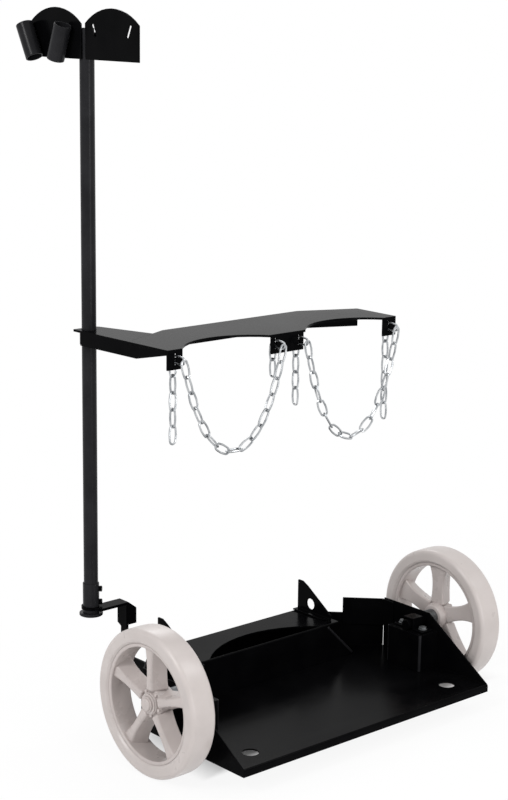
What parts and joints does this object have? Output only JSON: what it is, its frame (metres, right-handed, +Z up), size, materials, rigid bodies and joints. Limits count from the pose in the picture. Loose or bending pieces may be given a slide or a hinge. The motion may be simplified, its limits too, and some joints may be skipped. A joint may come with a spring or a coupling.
{
  "type": "welding cart",
  "caption": "Two-wheeled welding cart rack: folded steel tray for gas bottles, scalloped yoke with safety chains, and a tall post with a torch holder.",
  "frame": {"origin": "on the floor under the middle of the overall box", "axes": "+Z up, +X along the axle to the right of the picture, +Y towards the back, away from the open front of the tray"},
  "size_m": [0.734, 0.6044, 1.239],
  "materials": {
    "black_paint": "gloss black paint on folded and tubular steel",
    "zinc_plate": "bright zinc plating",
    "tyre_rubber": "pale non-marking rubber",
    "hub_plastic": "moulded pale grey plastic",
    "bush_nylon": "natural nylon"
  },
  "bodies": {
    "rack": {"tray_pan": "black_paint", "rear_shelf": "black_paint", "left_corner_brace": "black_paint", "right_corner_brace": "black_paint", "left_gusset": "black_paint", "right_gusset": "black_paint", "left_axle_bracket": "black_paint", "right_axle_bracket": "black_paint", "foot_bracket": "black_paint", "socket_base": "black_paint", "side_rail": "black_paint", "post": "black_paint", "post_socket": "black_paint", "yoke_plate": "black_paint", "yoke_arm": "black_paint", "arm_collar": "black_paint", "near_holder_plate": "black_paint", "far_holder_plate": "black_paint", "holder_saddle": "black_paint", "near_torch_tube": "black_paint", "far_torch_tube": "black_paint", "left_axle_strap": "black_paint", "right_axle_strap": "black_paint", "left_stub_axle": "black_paint", "right_stub_axle": "black_paint", "socket_bolt_1": "black_paint", "socket_bolt_2": "black_paint", "left_strap_bolt_1": "zinc_plate", "left_strap_bolt_2": "zinc_plate", "right_strap_bolt_1": "zinc_plate", "right_strap_bolt_2": "zinc_plate", "left_axle_spacer": "zinc_plate", "right_axle_spacer": "zinc_plate", "leg_bolt_1": "zinc_plate", "leg_bolt_2": "zinc_plate", "left_axle_washer": "hub_plastic", "right_axle_washer": "hub_plastic", "left_axle_cap": "hub_plastic", "right_axle_cap": "hub_plastic"},
    "left_wheel": {"left_tyre": "tyre_rubber", "left_wheel_hub": "hub_plastic", "left_wheel_bush": "bush_nylon"},
    "right_wheel": {"right_tyre": "tyre_rubber", "right_wheel_hub": "hub_plastic", "right_wheel_bush": "bush_nylon"},
    "left_chain": {"left_chain": "zinc_plate"},
    "right_chain": {"right_chain": "zinc_plate"}
  },
  "joints": [
    {"name": "left_wheel_spin", "type": "hinge", "parent": "rack", "child": "left_wheel", "pos_m": [-0.342, -0.1372, 0.127], "axis": [1, 0, 0], "continuous": true},
    {"name": "right_wheel_spin", "type": "hinge", "parent": "rack", "child": "right_wheel", "pos_m": [0.342, -0.1372, 0.127], "axis": [1, 0, 0], "continuous": true},
    {"name": "left_chain_swing", "type": "hinge", "parent": "rack", "child": "left_chain", "pos_m": [-0.1435, -0.08325, 0.68], "axis": [1, 0, 0], "range_deg": [-6, 16]},
    {"name": "right_chain_swing", "type": "hinge", "parent": "rack", "child": "right_chain", "pos_m": [0.1305, -0.08325, 0.68], "axis": [1, 0, 0], "range_deg": [-6, 16]}
  ]
}
